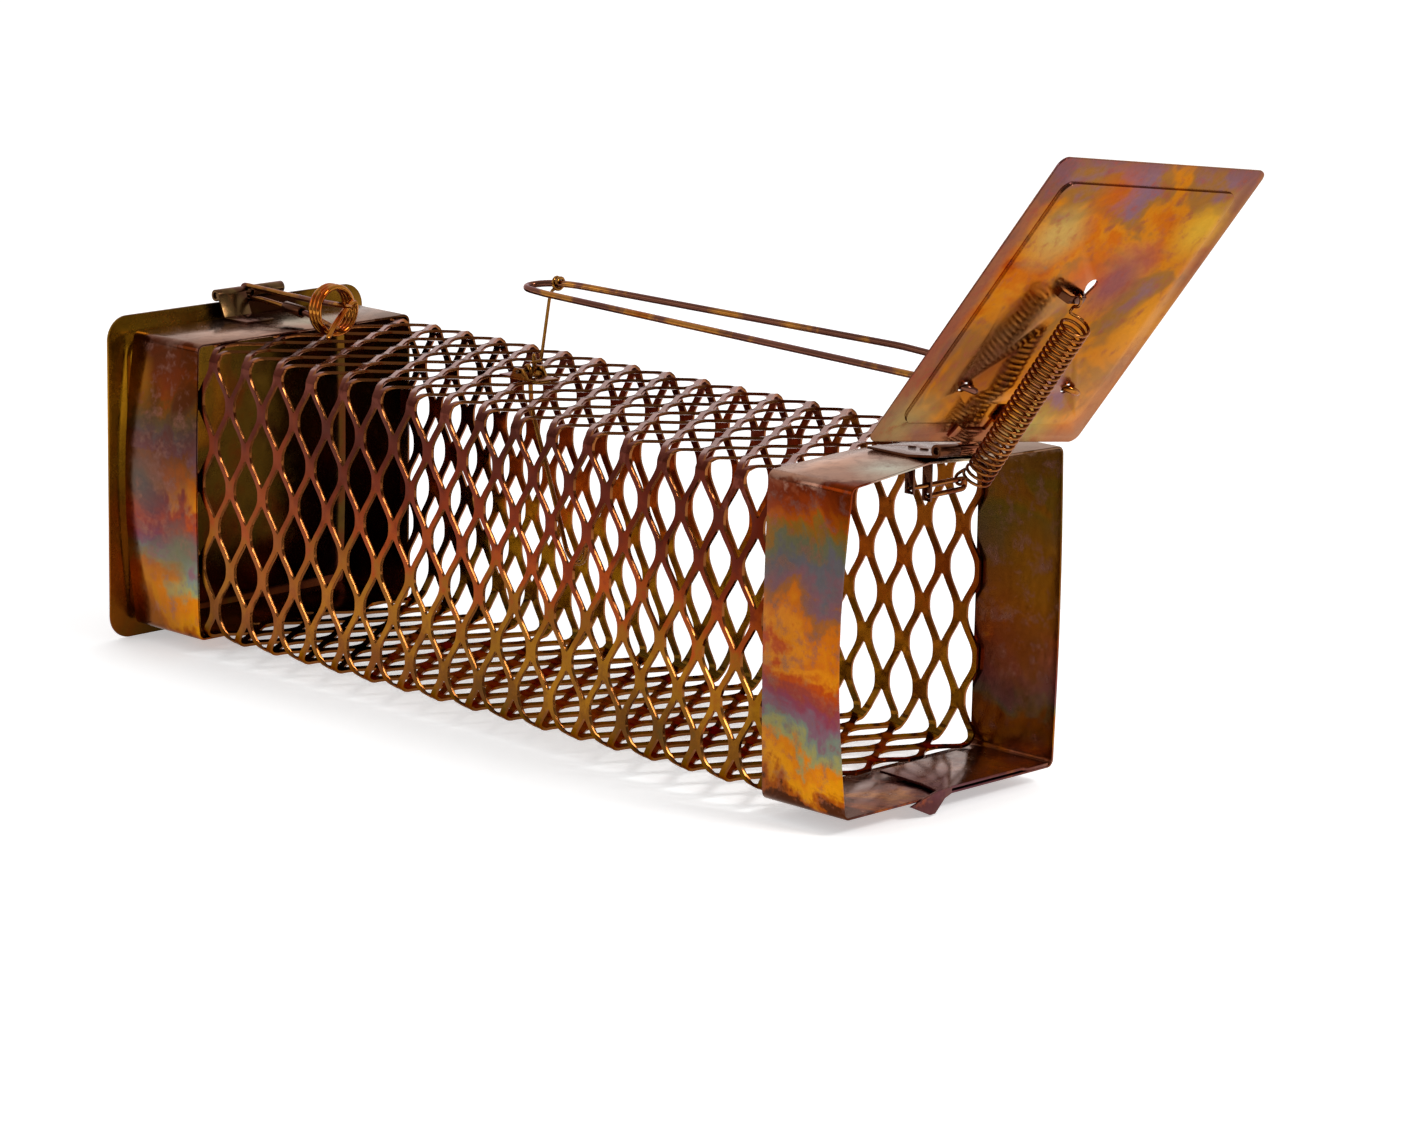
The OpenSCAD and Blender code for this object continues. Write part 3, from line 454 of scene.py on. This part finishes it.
spring_finish = tinted_steel(
    "tinted_spring_steel",
    [(0.25, "1C0904"), (0.45, "441C0A"), (0.6, "703616"), (0.8, "985E2C")],
    height=(-200, 200), drift=0.6, mottle=0.16, cloud=80, rough=0.12,
)
dark_finish = tinted_steel(
    "tinted_dark_steel",
    [(0.25, "24100A"), (0.5, "3E1E12"), (0.75, "5A3420")],
    height=(-200, 200), drift=0.6, mottle=0.14, cloud=60, rough=0.22, edge="FFF0EC",
)

# ---------------------------------------------------------------- expanded sheet
# Way round the cage, from the height of the first row: up the near side, over the top and down
# the far side, and the other way along the floor to the seam at the far side's foot.
bend_run = fold_r * pi / 2
s_near_top = fold_top - first_row_z
s_near_foot = fold_foot - first_row_z
s_top_near = s_near_top + bend_run
s_top_far = s_top_near + 2 * fold_y
s_far_top = s_top_far + bend_run
s_far_foot = s_far_top + fold_top - fold_foot
s_floor_near = s_near_foot - bend_run
s_floor_far = s_floor_near - 2 * fold_y
s_seam = s_floor_far - bend_run
# The sheet is pulled a little tighter over the top and the floor, so that its rows meet again
# at the seam: places on the pattern, and where they come to lie round the cage.
top_pull = 5.2
rows_round = 28
floor_pull = rows_round * mesh_row - (s_far_foot + top_pull - s_seam)
pattern = [
    (s_seam - floor_pull, s_seam), (s_floor_far - floor_pull, s_floor_far),
    (s_floor_near, s_floor_near), (s_top_near, s_top_near),
    (s_top_far + top_pull, s_top_far), (s_far_foot + top_pull, s_far_foot),
]


def laid(p):
    """The place round the cage of a place on the pattern."""
    for (p0, s0), (p1, s1) in zip(pattern, pattern[1:]):
        if p <= p1:
            break
    return s0 + (p - p0) * (s1 - s0) / (p1 - p0)


def wrapped(x, s, rise):
    """A point of the flat sheet, folded round the cage. rise is its height over the sheet."""
    r = fold_r + rise

    def bend(y, z, s0, a0):
        a = a0 - (s - s0) / fold_r
        return x, y + r * cos(a), z + r * sin(a)

    if s > s_far_top:
        return x, fold_y + r, fold_top - (s - s_far_top)
    if s > s_top_far:
        return bend(fold_y, fold_top, s_top_far, pi / 2)
    if s > s_top_near:
        return x, s - s_top_near - fold_y, fold_top + r
    if s > s_near_top:
        return bend(-fold_y, fold_top, s_near_top, pi)
    if s > s_near_foot:
        return x, -fold_y - r, first_row_z + s
    if s > s_floor_near:
        return bend(-fold_y, fold_foot, s_near_foot, pi)
    if s > s_floor_far:
        return x, s_floor_near - s - fold_y, fold_foot - r
    return bend(fold_y, fold_foot, s_floor_far, 3 * pi / 2)


def bond_unit():
    """One bond of the sheet with its four half strands, flat, in millimetres."""
    bpy.ops.object.select_all(action="DESELECT")
    bpy.ops.mesh.primitive_plane_add(size=1)
    unit = bpy.context.object
    bpy.ops.object.mode_set(mode="EDIT")
    bpy.ops.transform.resize(value=(2 * strand_w, bond_l, 1))
    bpy.ops.mesh.subdivide(number_cuts=1)
    step = Vector(((mesh_col - strand_w) / 2, (mesh_row - bond_l) / 2))
    for side in (-1, 1):
        for way in (-1, 1):
            bpy.ops.mesh.select_all(action="DESELECT")
            bpy.ops.object.mode_set(mode="OBJECT")
            for edge in unit.data.edges:
                ends = [unit.data.vertices[i].co for i in edge.vertices]
                edge.select = all(abs(e.y - way * bond_l / 2) < 0.01 for e in ends) and all(
                    -0.01 < side * e.x < strand_w + 0.01 for e in ends)
            bpy.ops.object.mode_set(mode="EDIT")
            bpy.ops.mesh.select_mode(type="EDGE")
            for lean in (strand_lean, 1 - strand_lean):
                bpy.ops.mesh.extrude_region_move(TRANSFORM_OT_translate={
                    "value": (side * step.x * lean, way * step.y / 2, 0)})
            bpy.ops.mesh.select_mode(type="VERT")
    bpy.ops.object.mode_set(mode="OBJECT")
    # each strand runs from the proud half of one bond to the sunk half of the next
    for v in unit.data.vertices:
        t = max(0, (abs(v.co.y) - bond_l / 2) / step.y)
        v.co.z = mesh_relief * v.co.x / strand_w
        if t > 0.1:
            lean = strand_lean if t < 0.9 else 1
            across = (abs(v.co.x) - step.x * lean) / strand_w
            v.co.z = mesh_relief * (1 if v.co.x > 0 else -1) * (across - t / 2)
    return unit


# two bonds make the unit that repeats; the flat sheet is laid out larger and cut to size
weld = 0.05
spare = 2
sleeve = bond_unit()
open_whole(sleeve)
bpy.ops.mesh.duplicate_move(TRANSFORM_OT_translate={"value": (mesh_col, mesh_row, 0)})
bpy.ops.mesh.select_all(action="SELECT")
columns_back = int((first_column - mesh_x0) / (2 * mesh_col)) + spare
rows_down = int(-pattern[0][0] / (2 * mesh_row)) + spare
bpy.ops.transform.translate(value=(
    first_column - columns_back * 2 * mesh_col, -rows_down * 2 * mesh_row, 0))
close()
for count, offset in (
    (int((mesh_x1 - mesh_x0) / (2 * mesh_col)) + 2 * spare + 1, (2 * mesh_col, 0, 0)),
    (rows_round // 2 + spare + 1, (0, 2 * mesh_row, 0)),
):
    apply_modifier(sleeve, "ARRAY", count=count, use_relative_offset=False,
                   use_constant_offset=True, constant_offset_displace=offset,
                   use_merge_vertices=True, merge_threshold=weld)
open_whole(sleeve)
bpy.ops.mesh.remove_doubles(threshold=weld)
for point, normal in (
    ((mesh_x0, 0, 0), (-1, 0, 0)), ((mesh_x1, 0, 0), (1, 0, 0)),
    ((0, pattern[0][0], 0), (0, -1, 0)), ((0, pattern[-1][0], 0), (0, 1, 0)),
):
    bpy.ops.mesh.select_all(action="SELECT")
    bpy.ops.mesh.bisect(plane_co=point, plane_no=normal, clear_outer=True)
# fold lines
for start in (s_floor_far - floor_pull - bend_run, s_floor_near, s_near_top, s_top_far + top_pull):
    for part in fold_cuts:
        bpy.ops.mesh.select_all(action="SELECT")
        bpy.ops.mesh.bisect(plane_co=(0, start + part * bend_run, 0), plane_no=(0, 1, 0))
close()
for v in sleeve.data.vertices:
    x, p, rise = v.co
    inside = max(0, min(1, (x - frame_a) / relief_fade, (frame_b - x) / relief_fade))
    v.co = Vector(wrapped(x, laid(p), rise * inside)) * MM
open_whole(sleeve)
bpy.ops.mesh.remove_doubles(threshold=weld * MM)
close()
edge_crease = 0.62
apply_modifier(sleeve, "SOLIDIFY", thickness=mesh_t * MM, offset=0, use_even_offset=False,
               edge_crease_inner=edge_crease, edge_crease_outer=edge_crease)
# the strands' side faces are marked, and a brighter colour on them paints the highlights along
# their edges
facing_out = 0.6
glint_marks = sleeve.data.color_attributes.new("painted_glint_edge", "FLOAT_COLOR", "CORNER")
for face in sleeve.data.polygons:
    across, up = face.center.y / MM, face.center.z / MM
    outward = Vector((0, across - max(-fold_y, min(fold_y, across)),
                      up - max(fold_foot, min(fold_top, up)))).normalized()
    level = 1.0 if abs(face.normal.dot(outward)) < facing_out else 0.0
    for corner in face.loop_indices:
        glint_marks.data[corner].color = (level, level, level, 1)
apply_modifier(sleeve, "SUBSURF", levels=1, render_levels=1)
open_whole(sleeve)
bpy.ops.mesh.normals_make_consistent(inside=False)
close()
smooth(sleeve, 50)
finish_piece(sleeve, "expanded_sleeve", "cage", mesh_finish,
             ["mesh_left", "mesh_top", "mesh_right", "mesh_floor"])

# ---------------------------------------------------------------- sheet parts
for node, body, slot, finish, edge in (
    ("sill_lap", "cage", "frame_steel", frame_finish, 0.25),
    ("hinge_strap", "cage", "fitting_steel", dark_finish, 0.15),
    ("strap_rivet_1", "cage", "fitting_steel", dark_finish, 0.1),
    ("strap_rivet_2", "cage", "fitting_steel", dark_finish, 0.1),
    ("hinge_pin", "cage", "fitting_steel", fitting_finish, 0.2),
    ("anchor_lug_1", "cage", "fitting_steel", dark_finish, 0.12),
    ("anchor_lug_2", "cage", "fitting_steel", dark_finish, 0.12),
    ("trigger_clip", "cage", "trigger_steel", trigger_finish, 0.15),
    ("clip_pin", "cage", "fitting_steel", fitting_finish, 0.1),
    ("rear_knuckle", "cage", "fitting_steel", fitting_finish, 0.15),
    ("rear_pin", "cage", "fitting_steel", fitting_finish, 0.2),
    ("keeper_sleeve", "cage", "fitting_steel", dark_finish, 0.15),
    ("door_plate", "door", "door_steel", door_finish, 0.25),
    ("door_leaf", "door", "door_steel", door_finish, 0.15),
    ("door_gusset", "door", "door_steel", door_finish, 0.12),
    ("spring_bridge", "door", "door_steel", dark_finish, 0.15),
    ("rear_cover", "cover", "cover_steel", cover_finish, 0.25),
    ("cover_knuckle", "cover", "fitting_steel", fitting_finish, 0.15),
    ("front_frame", "cage", "frame_steel", frame_finish, 0.2),
    ("rear_frame", "cage", "frame_steel", frame_finish, 0.2),
):
    pressed(node, body, finish, edge)

# ---------------------------------------------------------------- wire parts
for node, body, slot, finish, swell in (
    ("spring_anchor", "cage", "wire_steel", spring_finish, 0.06),
    ("keeper", "cage", "wire_steel", wire_finish, 0.06),
    ("tie_ring", "cage", "wire_steel", tie_finish, 0.35),
    ("lever", "door", "wire_steel", wire_finish, 0.06),
    ("trigger_link", "link", "trigger_steel", trigger_finish, 0.05),
    ("bait_hook", "hook", "trigger_steel", trigger_finish, 0.05),
    ("door_spring", "spring", "spring_steel", spring_finish, 0.05),
):
    drawn(node, body, finish, swell)

# the spring shortens towards its lower hook as the door shuts; here it only gets a mesh of its own
spring = bpy.data.objects["door_spring_wire"]
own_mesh(spring)

# ---------------------------------------------------------------- floor, light and camera
def pale_ground(name, tone, lift):
    """White ground that keeps the shadow. lift brightens it for the camera and for mirrors."""
    material = bpy.data.materials.new(name)
    material.use_nodes = True
    nodes, link = material.node_tree.nodes, material.node_tree.links.new
    surface = nodes["Principled BSDF"]
    surface.inputs["Base Color"].default_value = linear(tone)
    surface.inputs["Roughness"].default_value = 0.9
    surface.inputs["Specular IOR Level"].default_value = 0.1
    surface.inputs["Emission Color"].default_value = (1, 1, 1, 1)
    seen = nodes.new("ShaderNodeLightPath")
    either = nodes.new("ShaderNodeMath")
    either.operation = "MAXIMUM"
    link(seen.outputs["Is Camera Ray"], either.inputs[0])
    link(seen.outputs["Is Glossy Ray"], either.inputs[1])
    lifted = nodes.new("ShaderNodeMath")
    lifted.operation = "MULTIPLY"
    lifted.inputs[1].default_value = lift
    link(either.outputs[0], lifted.inputs[0])
    link(lifted.outputs[0], surface.inputs["Emission Strength"])
    return material


# the ground lies a little under the cover's edge, the part's lowest place
ground_z = -5.2 * MM
ground_side = 12
bpy.ops.object.select_all(action="DESELECT")
bpy.ops.mesh.primitive_plane_add(size=1)
floor = bpy.context.object
floor.name = "floor"
bpy.ops.object.mode_set(mode="EDIT")
bpy.ops.transform.resize(value=(ground_side, ground_side, 1))
bpy.ops.transform.translate(value=(0, 0, ground_z))
bpy.ops.object.mode_set(mode="OBJECT")
floor.data.materials.append(pale_ground("pale_floor", "FFFFFF", 0.42))

world = bpy.data.worlds.new("studio")
bpy.context.scene.world = world
world.use_nodes = True
nodes, link = world.node_tree.nodes, world.node_tree.links.new
glow = nodes["Background"]
glow.inputs["Color"].default_value = (1, 1, 1, 1)
# the studio is brightest behind the trap and dimmer on the camera's side
bright_side = (-0.69, 0.69, 0.2)
dim_level, bright_level = 0.32, 0.98
toward = nodes.new("ShaderNodeTexCoord").outputs["Generated"]
facing = nodes.new("ShaderNodeVectorMath")
facing.operation = "DOT_PRODUCT"
facing.inputs[1].default_value = bright_side
link(toward, facing.inputs[0])
fall = nodes.new("ShaderNodeMapRange")
for number, value in enumerate((-0.3, 0.75, dim_level, bright_level), start=1):
    fall.inputs[number].default_value = value
link(facing.outputs["Value"], fall.inputs[0])
link(fall.outputs[0], glow.inputs["Strength"])


def softbox(name, place, size, power):
    """A rectangular lamp at a place in metres, aimed at the middle of the trap."""
    bpy.ops.object.light_add(type="AREA", location=place)
    lamp = bpy.context.object
    lamp.name = name
    lamp.data.shape = "RECTANGLE"
    lamp.data.size, lamp.data.size_y = size
    lamp.data.energy = power
    lamp.rotation_euler = (trap_middle - Vector(place)).to_track_quat("-Z", "Y").to_euler()


trap_middle = Vector((-0.1, 0, 0.05))
softbox("key", (1.3, 0.3, 1.3), (0.45, 0.45), 13)
softbox("fill", (-0.9, -1.5, 0.8), (1.2, 0.8), 4)

camera_data = bpy.data.cameras.new("camera")
camera = bpy.data.objects.new("camera", camera_data)
bpy.context.scene.collection.objects.link(camera)
bpy.context.scene.camera = camera
camera_data.lens = 128.04
camera_data.sensor_width = 36
camera.location = (0.97202, -1.07503, 0.39725)
look = Vector((-0.68513, 0.69370, -0.22220))
roll = 0.993
camera.rotation_mode = "QUATERNION"
camera.rotation_quaternion = (
    look.to_track_quat("-Z", "Y").to_matrix() @ Matrix.Rotation(radians(roll), 3, "Z")
).to_quaternion()
bpy.context.scene.view_settings.view_transform = "Standard"
